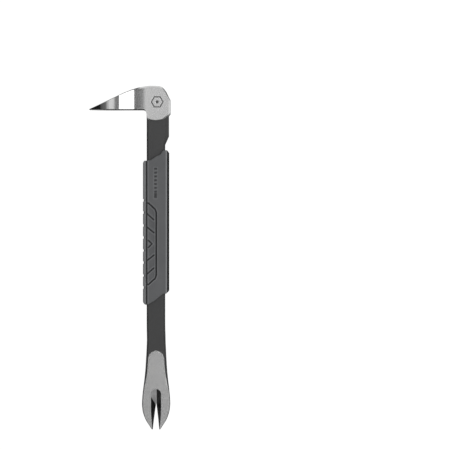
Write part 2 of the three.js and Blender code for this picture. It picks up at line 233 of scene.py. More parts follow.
def cut(obj, cutter):
    """Takes the cutter's shape out of the object and deletes the cutter."""
    modifier = obj.modifiers.new("cut", "BOOLEAN")
    modifier.operation = "DIFFERENCE"
    modifier.solver = "EXACT"
    modifier.object = cutter
    apply_modifiers(obj)
    bpy.data.objects.remove(cutter)


def smooth_faces(obj, angle):
    """Smooth shading with edges sharper than the angle kept."""
    obj.data.shade_smooth()
    obj.data.set_sharp_from_angle(angle=math.radians(angle))


def rounded_section(left, right, low, high, chamfers, counts):
    """Points round a chamfered section, anticlockwise from the low left: chamfers are (across, up) at the
    low left, low right, high right and high left corners, rounded; counts are points on each side."""
    corners = [(left, low, 1, 1), (right, low, -1, 1), (right, high, -1, -1), (left, high, 1, -1)]
    points = []
    for k, (cx, cz, sx, sz) in enumerate(corners):
        across, up = chamfers[k]
        first = (cx, cz + sz * up) if k in (0, 2) else (cx + sx * across, cz)
        last = (cx + sx * across, cz) if k in (0, 2) else (cx, cz + sz * up)
        for t in np.linspace(0, 1, 6):
            bulge = CORNER_SOFTENING * 0.5 * math.sin(math.pi * t)
            x = first[0] + (last[0] - first[0]) * t + (cx - (first[0] + last[0]) / 2) * bulge
            z = first[1] + (last[1] - first[1]) * t + (cz - (first[1] + last[1]) / 2) * bulge
            points.append((x, z))
        nx, nz, nsx, nsz = corners[(k + 1) % 4]
        nacross, nup = chamfers[(k + 1) % 4]
        start = last
        end = (nx + nsx * nacross, nz) if (k + 1) % 4 in (1, 3) else (nx, nz + nsz * nup)
        for t in np.linspace(0, 1, counts[k] + 2)[1:-1]:
            points.append((start[0] + (end[0] - start[0]) * t, start[1] + (end[1] - start[1]) * t))
    return points


# ---- forging: shank and straight claw ----
def face_height(y):
    """Height of the straight claw's ground face."""
    return SHANK_HIGH + PAD_RISE + CLAW_TILT * np.maximum(0, PAD_TOP - y)


def pad_half_width(y):
    """Half the width of the raised pad, just inside the chamfered edges."""
    return along(CLAW_WIDTH, y) - along(CLAW_EDGE, y) - PAD_MARGIN


def pad_share(x, y):
    """1 on the ground pad of the straight claw, 0 off it, with a short slope at the rim."""
    inside_sides = pad_half_width(y) - np.abs(x)
    half_arch = float(pad_half_width(PAD_SHOULDER))
    reach = np.clip(1 - (np.abs(x) / half_arch) ** 2.3, 0, 1)
    inside_top = PAD_SHOULDER + (PAD_TOP - PAD_SHOULDER) * np.sqrt(reach) - y
    return np.minimum(smooth(inside_sides, -0.15, 0.15), smooth(inside_top, -0.25, 0.35))


def bar_ring(y):
    """One ring of the straight claw or the shank."""
    if y <= CLAW_TOP:
        half = float(along(CLAW_WIDTH, y))
        edge = float(along(CLAW_EDGE, y))
        high = float(face_height(y)) - PAD_RISE
        low = max(SHANK_LOW, float(face_height(y) - along(CLAW_THICKNESS, y)))
        step = float(smooth(y, *PAD_STEP))
        high += (1 - step) * PAD_RISE
        left, right = -half, half
        chamfers = [(edge, edge)] * 4
    else:
        wide = float(np.clip((y - NOTCH_LOW) / (NOTCH_HIGH - NOTCH_LOW), 0, 1))
        settle = float(smooth(y, CLAW_TOP, SHANK_SETTLED))
        claw_half = CLAW_WIDTH[-1][1]
        left = -claw_half + (SHANK_LEFT + claw_half) * settle
        right = claw_half + (SHANK_RIGHT - claw_half) * settle + (UPPER_RIGHT - SHANK_RIGHT) * wide
        across = SHANK_CHAMFER + (UPPER_CHAMFER - SHANK_CHAMFER) * wide
        up = SHANK_CHAMFER + (UPPER_DROP - SHANK_CHAMFER) * wide
        low, high = SHANK_LOW, SHANK_HIGH
        plain = (SHANK_CHAMFER, SHANK_CHAMFER)
        chamfers = [plain, (across, up), (across, up), plain]
        step = 1.0
    points = rounded_section(left, right, low, high, chamfers, (10, 12, 34, 12))
    ring = np.array([(x, y, z) for x, z in points])
    on_face = ring[:, 2] > high - 0.01
    ring[on_face, 2] += pad_share(ring[on_face, 0], y) * PAD_RISE * step
    return ring


def make_bar():
    """The shank and the straight claw with its slot."""
    ys = np.concatenate([
        np.arange(0, CLAW_TOP, ROW_STEP), np.linspace(CLAW_TOP, SHANK_SETTLED, 8), np.linspace(100, 230, 6),
        np.linspace(NOTCH_LOW - 1, NOTCH_HIGH + 1, 19), [250, SHANK_TOP],
    ])
    obj = lofted("forged_bar_shank_claw", np.array([bar_ring(y) for y in ys]))
    outward(obj)
    cut(obj, slot_cutter("straight"))
    smooth_faces(obj, 15)
    return obj


def slot_cutter(kind):
    """The V slot with a conical end, set into the straight claw's face or the head claw's underside."""
    stations = [(-2, SLOT_HALF_AT_TIP), (0, SLOT_HALF_AT_TIP), (8, 3.7), (SLOT_STRAIGHT_FROM, SLOT_HALF),
                (SLOT_ROUND_AT, SLOT_HALF)]
    rim = SLOT_HALF + SLOT_SLOPE * SLOT_OVERRUN
    sections = []
    for s, half in stations:
        wide = half + SLOT_SLOPE * SLOT_OVERRUN
        sections.append([(s, -wide, SLOT_OVERRUN), (s, 0, -half / SLOT_SLOPE), (s, wide, SLOT_OVERRUN)])
    points = [p for section in sections for p in section]
    faces = [tuple(f) for f in tube_faces(len(sections), 3)] + [(2, 1, 0)]
    last = (len(sections) - 1) * 3
    apex = last + 1
    arc = []
    for turn in np.linspace(-math.pi / 2, math.pi / 2, 33)[1:-1]:
        arc.append(len(points))
        points.append((SLOT_ROUND_AT + rim * math.cos(turn), rim * math.sin(turn), SLOT_OVERRUN))
    path = [last, *arc, last + 2]
    for a, b in zip(path[:-1], path[1:]):
        faces.append((apex, a, b))
    faces.append(tuple(path[::-1]))
    p = np.array(points, float)
    if kind == "straight":
        tilt = math.atan(CLAW_TILT)
        y = p[:, 0] * math.cos(tilt) + p[:, 2] * math.sin(tilt)
        z = -p[:, 0] * math.sin(tilt) + p[:, 2] * math.cos(tilt) + float(face_height(0))
        placed = np.stack([p[:, 1], y, z], -1)
    else:
        placed = np.stack([HEAD_TIP + p[:, 0], UNDERSIDE - p[:, 2], MID_Z + p[:, 1]], -1)
    obj = new_object(f"cutter_{kind}", placed, faces)
    outward(obj)
    return obj


# ---- forging: head ----
def head_ring(x):
    """One ring of the head, across the head claw's length."""
    s = x - HEAD_TIP
    top, bottom = float(along(HEAD_TOP, x)), float(along(HEAD_BOTTOM, x))
    half = float(along(HEAD_WIDTH, s))
    if s > STRIP_FROM:
        half = float(np.interp(s, *np.transpose(HEAD_WIDTH[-2:])))
    up, down = float(along(HEAD_TOP_CHAMFER, s)), float(along(HEAD_BOTTOM_CHAMFER, s))
    drop = up * (CLAW_CHAMFER_DEPTH + (CHAMFER_DEPTH - CLAW_CHAMFER_DEPTH) * float(smooth(s, 36, 44)))
    chamfers = [(down, down), (up, drop), (up, drop), (down, down)]
    points = rounded_section(bottom, top, MID_Z - half, MID_Z + half, chamfers, (14, 8, 14, 8))
    return np.array([(x, y, z) for y, z in points])


def make_head():
    """The head and its claw with the slot in the underside."""
    xs = np.concatenate([
        np.linspace(HEAD_TIP, -11, 110), np.linspace(-10.8, -7.7, 22), [-7.6, -7.5, -7.4, -7.3, -7.1, -6.8],
        np.linspace(-6.2, HEAD_TIP + STRIP_FROM, 29), np.linspace(HEAD_TIP + STRIP_FROM + 0.4, STRIKE_X, 4),
    ])
    obj = lofted("forged_bar_head", np.array([head_ring(x) for x in xs]))
    outward(obj)
    cut(obj, slot_cutter("head"))
    smooth_faces(obj, 15)
    return obj


# ---- grip ----
def grip_section():
    """Points round the grip's section with their outward directions, finer beside the tread's grooves."""
    spacing = 0.45
    points = []

    def line(p, q, normal):
        """Adds the points of a straight side from p up to q."""
        n = max(2, int(round(math.dist(p, q) / spacing)))
        for t in np.arange(n) / n:
            points.append((p[0] + (q[0] - p[0]) * t, p[1] + (q[1] - p[1]) * t, *normal))

    def arc(cx, cz, r, start, end):
        """Adds the points of a rounded corner."""
        n = max(3, int(round(abs(end - start) * r / (spacing * 0.8))))
        for t in np.arange(n) / n:
            turn = start + (end - start) * t
            points.append((cx + r * math.cos(turn), cz + r * math.sin(turn), math.cos(turn), math.sin(turn)))

    big, small = GRIP_CORNER, GRIP_FRONT_CORNER
    line((GRIP_LEFT + small, 0), (GRIP_RIGHT - big, 0), (0, -1))
    arc(GRIP_RIGHT - big, big, big, -math.pi / 2, 0)
    line((GRIP_RIGHT, big), (GRIP_RIGHT, GRIP_HIGH - big), (1, 0))
    arc(GRIP_RIGHT - big, GRIP_HIGH - big, big, 0, math.pi / 2)
    line((GRIP_RIGHT - big, GRIP_HIGH), (GRIP_LEFT + small, GRIP_HIGH), (0, 1))
    arc(GRIP_LEFT + small, GRIP_HIGH - small, small, math.pi / 2, math.pi)
    line((GRIP_LEFT, GRIP_HIGH - small), (GRIP_LEFT, small), (-1, 0))
    arc(GRIP_LEFT + small, small, small, math.pi, 1.5 * math.pi)
    return np.array(points)


def segment_distance(x, y, a, b):
    """Distance from each point to the line from a to b."""
    ax, ay = a
    dx, dy = b[0] - ax, b[1] - ay
    t = np.clip(((x - ax) * dx + (y - ay) * dy) / (dx * dx + dy * dy), 0, 1)
    return np.hypot(x - ax - t * dx, y - ay - t * dy)


def path_distance(x, y, path):
    """Distance from each point to a line through several corners."""
    return np.min([segment_distance(x, y, a, b) for a, b in zip(path[:-1], path[1:])], axis=0)


def channel(distance, half, depth):
    """Depth of a flat-bottomed groove, and how strongly each point is one of its raised lips."""
    groove = depth * (1 - smooth(distance, half * 0.45, half))
    lip = np.exp(-(((distance - half * 1.5) / (half * 0.4)) ** 2))
    return groove, lip


def inside_pad(x, y):
    """True inside the side pad's outline."""
    slope_top = (PAD_GROOVE[1][1] - PAD_GROOVE[2][1]) / (PAD_GROOVE[2][0] - PAD_GROOVE[1][0])
    slope_end = (PAD_GROOVE[2][1] - PAD_GROOVE[3][1]) / (PAD_GROOVE[3][0] - PAD_GROOVE[2][0])
    up = np.abs(y - GRIP_MIDDLE)
    top = np.minimum(PAD_REACH, PAD_GROOVE[1][1] - GRIP_MIDDLE - slope_top * (x - PAD_GROOVE[1][0]))
    top = np.minimum(top, PAD_GROOVE[2][1] - GRIP_MIDDLE - slope_end * (x - PAD_GROOVE[2][0]))
    return (x > TREAD_GROOVE_X) & (x < PAD_GROOVE[3][0]) & (up < top)


def grip_relief(x, y, nz):
    """How far the moulded surface lies in from the plain grip, and how much each point is in a groove or
    on a lip beside one; the rubber turns these into painted shade in the grooves and a painted highlight on
    the lips."""
    on_side = np.abs(nz) > 0.7
    recess, lips = np.zeros_like(x), np.zeros_like(x)

    def add(where, distance, size, lip_share=1.0):
        """Adds a groove of the given half width and depth, with its lips."""
        nonlocal recess, lips
        groove, lip = channel(distance, *size)
        recess = np.maximum(recess, np.where(where, groove, 0))
        lips = np.maximum(lips, np.where(where, lip * lip_share, 0))

    add(on_side, np.abs(x - TREAD_GROOVE_X), TREAD_GROOVE)
    edge_distance = path_distance(x, y, PAD_GROOVE)
    add(on_side, edge_distance, PAD_EDGE_GROOVE)
    within = on_side & inside_pad(x, y)
    cell = np.ones_like(x)
    for x0, up0, x1, up1 in PAD_LINES:
        for sign in (1, -1):
            a, b = (x0, GRIP_MIDDLE + sign * up0), (x1, GRIP_MIDDLE + sign * up1)
            distance = segment_distance(x, y, a, b)
            add(within, distance, PAD_LINE_GROOVE, 0.9)
            cell = np.minimum(cell, smooth(distance, 0.3, 3.2))
    # A row of plain moulded ticks above the pad.
    for k in range(TICK_COUNT):
        tall = FIRST_TICK_HALF_HEIGHT if k == 0 else TICK_HALF_HEIGHT
        tick = np.maximum(np.abs(x - TICK_X) - TICK_HALF_WIDTH, np.abs(y - TICK_FROM - TICK_PITCH * k) - tall)
        add(nz > 0.7, np.maximum(tick + TICK_ROUND, 0), TICK_GROOVE, 0.4)
    dish = smooth(edge_distance, 0.4, 2.6) * smooth(np.abs(x - TREAD_GROOVE_X), 0.4, 2.6) * cell
    raised_lip = LIP_HEIGHT * np.minimum(lips, 1) * (recess < 0.05)
    depth = recess - raised_lip + np.where(within, PAD_SINK + PAD_DISH * dish, 0)
    # Notches across the tread's front edge, fading out round its corners.
    reach = smooth(np.clip((TREAD_GROOVE_X - 0.6 - x) / 1.9, 0, 1), 0.35, 1.0)
    for offset in NOTCHES:
        for sign in (1, -1):
            nick = reach * (1 - smooth(np.abs(y - GRIP_MIDDLE - sign * offset), NOTCH_FLOOR, NOTCH_RIM))
            depth += NOTCH_DEPTH * nick
            recess = np.maximum(recess, 0.8 * nick)
    # The seam between the sleeve and the spine.
    seam = (x > SPINE_EDGE_X - SEAM_HALF) & (x < SPINE_EDGE_X + SEAM_HALF) & (np.abs(nz) > 0.2)
    depth += np.where(seam, SEAM_DEPTH, 0)
    # A painted highlight along the sleeve's rounded edge beside the spine, carried in the lip values so that
    # only the colour lightens.
    painted_edge_highlight = np.exp(-(((x - SPINE_EDGE_X + 0.6) / 0.45) ** 2))
    lips = np.maximum(lips, np.where(on_side, 1.8 * painted_edge_highlight, 0))
    return depth, np.clip(recess, 0, 1), lips


def grip_ring(section, share, inset, drop):
    """One ring of the grip: share runs from 0 at the low end to 1 at the high end, inset pulls the ring in,
    and drop moves it in from the end that it is nearer."""
    x = section[:, 0] - section[:, 2] * inset
    z = section[:, 1] - section[:, 3] * inset
    low = along(GRIP_BOTTOM_END, section[:, 0]) + drop
    high = along(GRIP_TOP_END, section[:, 0]) - drop
    return np.stack([x, low + (high - low) * share, z], -1)


def cap_rings(section, high_end):
    """Rings from the rounded edge of one end to the shank."""
    x0, z0 = section[:, 0], section[:, 1]
    bore_x = np.clip(x0, SHANK_LEFT + 0.2, SHANK_RIGHT - 0.2)
    bore_z = np.clip(z0, SHANK_LOW + 0.2, SHANK_HIGH - 0.2)
    inner_x, inner_z = x0 - section[:, 2] * GRIP_END_ROUND, z0 - section[:, 3] * GRIP_END_ROUND
    table = GRIP_TOP_END if high_end else GRIP_BOTTOM_END
    rings = []
    for t in CAP_SHARES:
        x = inner_x + (bore_x - inner_x) * t
        z = inner_z + (bore_z - inner_z) * t
        rings.append(np.stack([x, along(table, x), z], -1))
    return rings


def make_grip():
    """The grip's mouldings, cut from one closed surface along its grooves and edges."""
    section = grip_section()
    shares = np.linspace(0, 1, GRIP_ROWS)
    body = np.array([grip_ring(section, s, 0, GRIP_END_ROUND) for s in shares])
    normal_z = np.broadcast_to(section[:, 3], body.shape[:2])
    depth, recess, lips = grip_relief(body[..., 0], body[..., 1], normal_z)
    body[..., 0] -= depth * section[None, :, 2]
    body[..., 2] -= depth * section[None, :, 3]
    low, high = [], []
    for turn in np.linspace(0, math.pi / 2, 5)[1:]:
        inset = GRIP_END_ROUND * (1 - math.cos(turn))
        drop = GRIP_END_ROUND * (1 - math.sin(turn))
        low.append(grip_ring(section, 0, inset, drop))
        high.append(grip_ring(section, 1, inset, drop))
    # The grooves run out over the rounded ends.
    for rings, edge in ((low, 0), (high, -1)):
        for k, ring in enumerate(rings):
            fade = 1 - (k + 1) / len(rings)
            ring[:, 0] -= depth[edge] * section[:, 2] * fade
            ring[:, 2] -= depth[edge] * section[:, 3] * fade
    rings = np.concatenate([
        cap_rings(section, False)[::-1], low[::-1], body, high, cap_rings(section, True),
    ])
    rows, columns = rings.shape[:2]
    faces = tube_faces(rows, columns)
    points = rings.reshape(-1, 3)
    ends = ((len(low) + CAP_ROWS, len(high) + CAP_ROWS), (0, 0))
    # Groove and lip values kept on the mesh, which the rubber turns into painted shade in the grooves and a
    # painted highlight on the lips.
    values = {
        "recess": np.pad(recess, ends, mode="edge").ravel(),
        "lip": np.pad(lips, ends, mode="edge").ravel(),
    }
    centre = points[faces].mean(1)
    on_side = np.abs(np.tile(section[:, 3], rows - 1)) > 0.7
    in_pad = on_side & inside_pad(centre[:, 0], centre[:, 1])
    row = np.arange(rows - 1)
    is_cap = np.repeat((row < CAP_ROWS) | (row >= rows - 1 - CAP_ROWS), columns)
    in_tread = (centre[:, 0] < TREAD_GROOVE_X) & ~is_cap
    groups = {
        "front_tread": in_tread,
        "side_pad_front": in_pad & (centre[:, 2] > MID_Z) & ~in_tread,
        "side_pad_back": in_pad & (centre[:, 2] < MID_Z) & ~in_tread,
        "back_spine": (centre[:, 0] > SPINE_EDGE_X) & ~is_cap & (np.tile(section[:, 2], rows - 1) > 0.35),
    }
    groups["grip_body"] = ~np.any(list(groups.values()), axis=0)
    made = {}
    for node, chosen in groups.items():
        kept = faces[chosen]
        used, index = np.unique(kept, return_inverse=True)
        obj = new_object(f"{node}_moulding", points[used], index.reshape(-1, 4)[:, ::-1])
        for name, value in values.items():
            store(obj, name, value[used])
        thicken = obj.modifiers.new("wall", "SOLIDIFY")
        thicken.thickness = MOULDING_WALL / 1000
        thicken.offset = -1
        apply_modifiers(obj)
        smooth_faces(obj, 50)
        made[node] = obj
    return made


# ---- materials ----
class Nodes:
    """A material's node tree, with short calls for what is used here."""

    def __init__(self, name):
        self.material = bpy.data.materials.new(name)
        self.material.use_nodes = True
        self.tree = self.material.node_tree
        self.shader = self.tree.nodes["Principled BSDF"]
        self.position = self.tree.nodes.new("ShaderNodeTexCoord").outputs["Object"]

    def add(self, kind, **settings):
        """A new node with the given settings."""
        node = self.tree.nodes.new(kind)
        for key, value in settings.items():
            setattr(node, key, value)
        return node

    def link(self, a, b):
        """Joins an output to an input."""
        self.tree.links.new(a, b)

    def math(self, operation, a, b=0.0, clamp=False):
        """The result of an operation on two numbers or sockets."""
        node = self.add("ShaderNodeMath", operation=operation, use_clamp=clamp)
        for socket, value in zip(node.inputs, (a, b)):
            if isinstance(value, (int, float)):
                socket.default_value = value
            else:
                self.link(value, socket)
        return node.outputs[0]

    def stretched(self, scale):
        """The position on the object, scaled along each axis."""
        node = self.add("ShaderNodeMapping")
        node.inputs["Scale"].default_value = scale
        self.link(self.position, node.inputs["Vector"])
        return node.outputs[0]

    def noise(self, scale, detail=3.0, stretch=(1, 1, 1), roughness=0.5):
        """A noise from 0 to 1 over the object."""
        node = self.add("ShaderNodeTexNoise")
        self.link(self.stretched(stretch), node.inputs["Vector"])
        node.inputs["Scale"].default_value = scale
        node.inputs["Detail"].default_value = detail
        node.inputs["Roughness"].default_value = roughness
        return node.outputs[0]

    def ramp(self, value, stops):
        """A colour that runs through the stops as the value rises."""
        node = self.add("ShaderNodeValToRGB")
        ramp = node.color_ramp
        while len(ramp.elements) < len(stops):
            ramp.elements.new(0.5)
        for element, (at, colour) in zip(ramp.elements, stops):
            element.position = at
            element.color = (*colour, 1)
        self.link(value, node.inputs[0])
        return node.outputs[0]

    def span(self, value, low, high, to_low, to_high):
        """The value's range from low to high, moved to another range."""
        node = self.add("ShaderNodeMapRange")
        self.link(value, node.inputs[0])
        for i, number in enumerate((low, high, to_low, to_high), 1):
            node.inputs[i].default_value = number
        return node.outputs[0]

    def mix(self, share, a, b):
        """Colour a where the share is 0 and colour b where it is 1."""
        node = self.add("ShaderNodeMix", data_type="RGBA")
        self.link(share, node.inputs[0])
        for socket, value in ((node.inputs[6], a), (node.inputs[7], b)):
            if isinstance(value, tuple):
                socket.default_value = (*value, 1)
            else:
                self.link(value, socket)
        return node.outputs[2]

    def mix_value(self, share, a, b):
        """Number a where the share is 0 and number b where it is 1."""
        node = self.add("ShaderNodeMix", data_type="FLOAT")
        self.link(share, node.inputs[0])
        for socket, value in ((node.inputs[2], a), (node.inputs[3], b)):
            if isinstance(value, (int, float)):
                socket.default_value = value
            else:
                self.link(value, socket)
        return node.outputs[0]

    def bump(self, height, strength, distance, after=None):
        """A normal that follows a height, on top of another normal if one is given."""
        node = self.add("ShaderNodeBump")
        node.inputs["Strength"].default_value = strength
        node.inputs["Distance"].default_value = distance
        self.link(height, node.inputs["Height"])
        if after is not None:
            self.link(after, node.inputs["Normal"])
        return node.outputs[0]

    def attribute(self, name):
        """A number stored on the mesh."""
        node = self.add("ShaderNodeAttribute", attribute_name=name)
        return node.outputs["Fac"]

    def set(self, socket, value):
        """Sets or links an input of the shader."""
        if isinstance(value, (int, float, tuple)):
            self.shader.inputs[socket].default_value = value
        else:
            self.link(value, self.shader.inputs[socket])


def steel_parts(m, stretch):
    """Colour, roughness and normal of ground steel whose grinding lines run across the stretch."""
    cloud = m.noise(60, 4)
    lines = m.noise(900, 3, stretch, 0.6)
    colour = m.ramp(cloud, [(0.3, (0.60, 0.60, 0.60)), (0.7, (0.67, 0.67, 0.665))])
    roughness = m.span(lines, 0.3, 0.7, 0.0, 0.07)
    normal = m.bump(lines, 0.06, 0.00002)
    return colour, roughness, normal


def stamped_mark(m):
    """1 on a plain six-sided outline with a dot in it, stamped on the sides of the head."""
    split = m.add("ShaderNodeSeparateXYZ")
    m.link(m.position, split.inputs[0])
    across = m.math("ABSOLUTE", m.math("SUBTRACT", split.outputs[0], (MARK_X - ORIGIN_X) / 1000))
    up = m.math("ABSOLUTE", m.math("SUBTRACT", split.outputs[1], (MARK_Y - ORIGIN_Y) / 1000))
    slant = math.radians(30)
    along_x = m.math("MULTIPLY", across, math.cos(slant))
    along_y = m.math("MULTIPLY", up, math.sin(slant))
    slanted = m.math("ADD", along_x, along_y)
    radius = m.math("MAXIMUM", slanted, up)
    from_line = m.math("ABSOLUTE", m.math("SUBTRACT", radius, MARK_RADIUS / 1000))
    line = m.span(from_line, 0.8 * MARK_LINE / 1000, 1.2 * MARK_LINE / 1000, 1, 0)
    dot = m.span(radius, (MARK_DOT - 0.15) / 1000, (MARK_DOT + 0.15) / 1000, 1, 0)
    side = m.math("ABSOLUTE", m.math("SUBTRACT", split.outputs[2], MID_Z / 1000))
    on_side = m.span(side, HEAD_SIDE_FROM / 1000, (HEAD_SIDE_FROM + 0.1) / 1000, 0, 1)
    return m.math("MULTIPLY", m.math("MAXIMUM", line, dot), on_side)


def make_head_steel():
    """Ground steel, satin at the head and polished on the claw, with the stamped mark."""
    m = Nodes("ground_steel_head")
    colour, streak, normal = steel_parts(m, (1, 12, 12))
    satin = m.attribute("satin")
    colour = m.mix(satin, colour, (0.62, 0.62, 0.62))
    roughness = m.math("ADD", streak, m.span(satin, 0, 1, 0.06, 0.16))
    mark = stamped_mark(m)
    m.set("Base Color", m.mix(mark, colour, (0.13, 0.13, 0.13)))
    m.set("Metallic", 1.0)
    m.set("Roughness", m.mix_value(mark, roughness, 0.5))
    inverse = m.math("SUBTRACT", 1.0, mark)
    m.link(m.bump(inverse, 0.6, 0.0001, normal), m.shader.inputs["Normal"])
    return m.material


def make_slot_finish():
    """Dark scale left in the straight claw's slot, with a painted highlight on one side of its round end: a
    pale, barely metallic patch, which also covers the head claw's slot."""
    m = Nodes("slot_scale")
    cloud = m.noise(300, 4)
    split = m.add("ShaderNodeSeparateXYZ")
    m.link(m.position, split.inputs[0])
    side = m.math("MULTIPLY", split.outputs[0], GLINT_SPOT_SLANT)
    run = m.math("ADD", split.outputs[1], side)
    edge = (GLINT_SPOT_EDGE - ORIGIN_Y - GLINT_SPOT_SLANT * ORIGIN_X) / 1000
    middle = (GLINT_SPOT_X - ORIGIN_X) / 1000
    # Painted highlight: a pale, barely metallic patch standing for a glint on one side of the round end, over
    # all of the head claw's slot too.
    above = m.span(run, edge - 0.0003, edge + 0.0003, 0, 1)
    left = m.span(split.outputs[0], middle - 0.0002, middle + 0.0002, 1, 0)
    painted_glint = m.math("MULTIPLY", above, left)
    scale = m.ramp(cloud, [(0.3, (0.02, 0.02, 0.02)), (0.7, (0.06, 0.06, 0.06))])
    m.set("Base Color", m.mix(painted_glint, scale, (0.55, 0.55, 0.55)))
    m.set("Metallic", m.mix_value(painted_glint, 0.8, 0.2))
    m.set("Roughness", m.span(cloud, 0.3, 0.7, 0.3, 0.42))
    m.link(m.bump(cloud, 0.2, 0.00005), m.shader.inputs["Normal"])
    return m.material


def make_bar_finish():
    """Ground steel where the mesh says so, satin black paint elsewhere, with a ragged edge between them."""
    m = Nodes("paint_and_ground_steel")
    colour, streak, normal = steel_parts(m, (12, 1, 12))
    ragged = m.noise(420, 4)
    share = m.math("ADD", m.attribute("ground"), m.span(ragged, 0.3, 0.7, -0.12, 0.12))
    ground = m.span(share, 0.44, 0.56, 0, 1)
    cloud = m.noise(45, 5)
    fleck = m.noise(1500, 2)
    paint = m.ramp(cloud, [(0.3, (0.009, 0.009, 0.0095)), (0.7, (0.014, 0.014, 0.0145))])
    peel = m.bump(fleck, 0.08, 0.00003)
    m.set("Base Color", m.mix(ground, paint, colour))
    m.set("Metallic", ground)
    m.set("Specular IOR Level", 0.85)
    paint_rough = m.span(cloud, 0.3, 0.7, 0.36, 0.44)
    m.set("Roughness", m.mix_value(ground, paint_rough, m.math("ADD", streak, 0.2)))
    pick = m.add("ShaderNodeMix", data_type="VECTOR")
    m.link(ground, pick.inputs[0])
    m.link(peel, pick.inputs[4])
    m.link(normal, pick.inputs[5])
    m.link(pick.outputs[1], m.shader.inputs["Normal"])
    return m.material


def make_rubber(name, dark, light, grain, highlight_gain=1.8, specular=0.35):
    """Matte moulded rubber: grained, with painted shade darkening its grooves and a painted highlight
    lightening their lips.
    """
    m = Nodes(name)
    cloud = m.noise(70, 5)
    fine = m.noise(grain, 3, roughness=0.7)
    pits = m.noise(grain * 2.3, 2)
    colour = m.ramp(cloud, [(0.25, dark), (0.75, light)])
    # Random specks lighten the grain; the lip values add a painted highlight on the raised lips and along the
    # spine's edge.
    speckle_and_lip_highlight = m.math("ADD", m.span(fine, 0.55, 0.85, 0, 0.2), m.math("MULTIPLY", m.attribute("lip"), 0.8), True)
    colour = m.mix(speckle_and_lip_highlight, colour, tuple(min(1, c * highlight_gain) for c in light))
    # Painted shade: the colour darkens in the grooves and notches, where shade falls.
    groove_shade = m.span(m.attribute("recess"), 0.1, 0.7, 0, 0.8)
    m.set("Base Color", m.mix(groove_shade, colour, tuple(c * 0.18 for c in dark)))
    m.set("Roughness", m.span(fine, 0.3, 0.7, 0.62, 0.8))
    m.set("Specular IOR Level", specular)
    coarse = m.bump(fine, 0.35, 0.00006)
    m.link(m.bump(pits, 0.2, 0.00003, coarse), m.shader.inputs["Normal"])
    return m.material


# ---- masks on the steel, one value for each corner point ----
def bar_points(obj):
    """The mesh's points in the bar's own numbers."""
    count = len(obj.data.vertices)
    flat = np.empty(count * 3)
    obj.data.vertices.foreach_get("co", flat)
    p = flat.reshape(-1, 3) * 1000
    return p[:, 0] + ORIGIN_X, p[:, 1] + ORIGIN_Y, p[:, 2]


def store(obj, name, values):
    """Keeps one number for each point on the mesh."""
    layer = obj.data.attributes.new(name, "FLOAT", "POINT")
    layer.data.foreach_set("value", np.asarray(values, np.float32))


def mark_ground(obj):
    """Ground steel on the pad and round the tips, paint above, and along the claw's edges a dark line of
    paint that is painted shade beside the tips.
    """
    x, y, z = bar_points(obj)
    # Painted shade: a thin line of black paint along the chamfered edges beside the tips.
    beside = smooth(along(CLAW_WIDTH, y) - along(PAINT_AND_SHADE_BORDER, y) - np.abs(x), -0.15, 0.15)
    arch = smooth(pad_share(x, y), 0.05, 0.3)
    on_face = smooth(z, face_height(y) - 1.4, face_height(y) - 1.1)
    front = np.where(y > ARCH_FROM, arch, beside) * on_face
    sides = (1 - smooth(y, *SIDES_GROUND_TO)) * (1 - on_face)
    store(obj, "ground", np.clip(np.maximum(front * (y < PAD_TOP + 1), sides), 0, 1))


def mark_head(obj):
    """Satin at the head and brighter polish on the flared claw."""
    store(obj, "satin", smooth(bar_points(obj)[0], SATIN_FROM, SATIN_FULL))


def finish_slot(obj, kind):
    """Gives the faces of the V slot the second material."""
    for face in obj.data.polygons:
        c = face.center * 1000
        x, y, z = c.x + ORIGIN_X, c.y + ORIGIN_Y, c.z
        if kind == "straight":
            across, run, facing = abs(x), y, face.normal.z
            below = float(face_height(y)) - z
        else:
            across, run, facing = abs(z - MID_Z), x - HEAD_TIP, -face.normal.y
            below = y - UNDERSIDE
        in_slot = across < SLOT_HALF + 0.1 and run < SLOT_ROUND_AT + SLOT_HALF + 0.3
        if in_slot and facing > 0.15 and below > 0.06:
            face.material_index = 1


# ---- build ----
bar = make_bar()
head = make_head()
grip = make_grip()

mark_ground(bar)
mark_head(head)
slot_finish = make_slot_finish()
for piece, finish, kind in ((bar, make_bar_finish(), "straight"), (head, make_head_steel(), "head")):
    piece.data.materials.clear()
    piece.data.materials.append(finish)
    piece.data.materials.append(slot_finish)
    finish_slot(piece, kind)

FINISHES = {
    "grip_body": make_rubber("grip_rubber", (0.132, 0.135, 0.139), (0.156, 0.159, 0.164), 2600),
    "front_tread": make_rubber("tread_rubber", (0.172, 0.175, 0.179), (0.200, 0.203, 0.208), 2600),
    "back_spine": make_rubber("spine_rubber", (0.004, 0.004, 0.004), (0.008, 0.008, 0.008), 2600, 1.0, 0.1),
    "side_pad_front": make_rubber("pad_rubber", (0.122, 0.125, 0.129), (0.147, 0.150, 0.155), 3400),
}
FINISHES["side_pad_back"] = FINISHES["side_pad_front"]
for node, piece in grip.items():
    piece.data.materials.clear()
    piece.data.materials.append(FINISHES[node])
    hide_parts(node)
    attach(piece, "root")
for piece in (bar, head):
    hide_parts("forged_bar")
    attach(piece, "root")


# ---- stage: sizes and places in metres ----
PANEL_Z, PANEL_SPLIT, PANEL_EDGE, PANEL_END = 2.3, 0.12, 0.046, 1.4
# [left edge, right edge, brightness] of the strips in which the head's panel fades out to the left
FADE = [(-2.2, -1.75, 0.1), (-1.75, -1.4, 0.16), (-1.4, -1.1, 0.25), (-1.1, -0.8, 0.4), (-0.8, -0.5, 0.6)]
FLAG_AT, FLAG_SIZE = (-0.9, 0.17, 0.57), (0.54, 0.18)
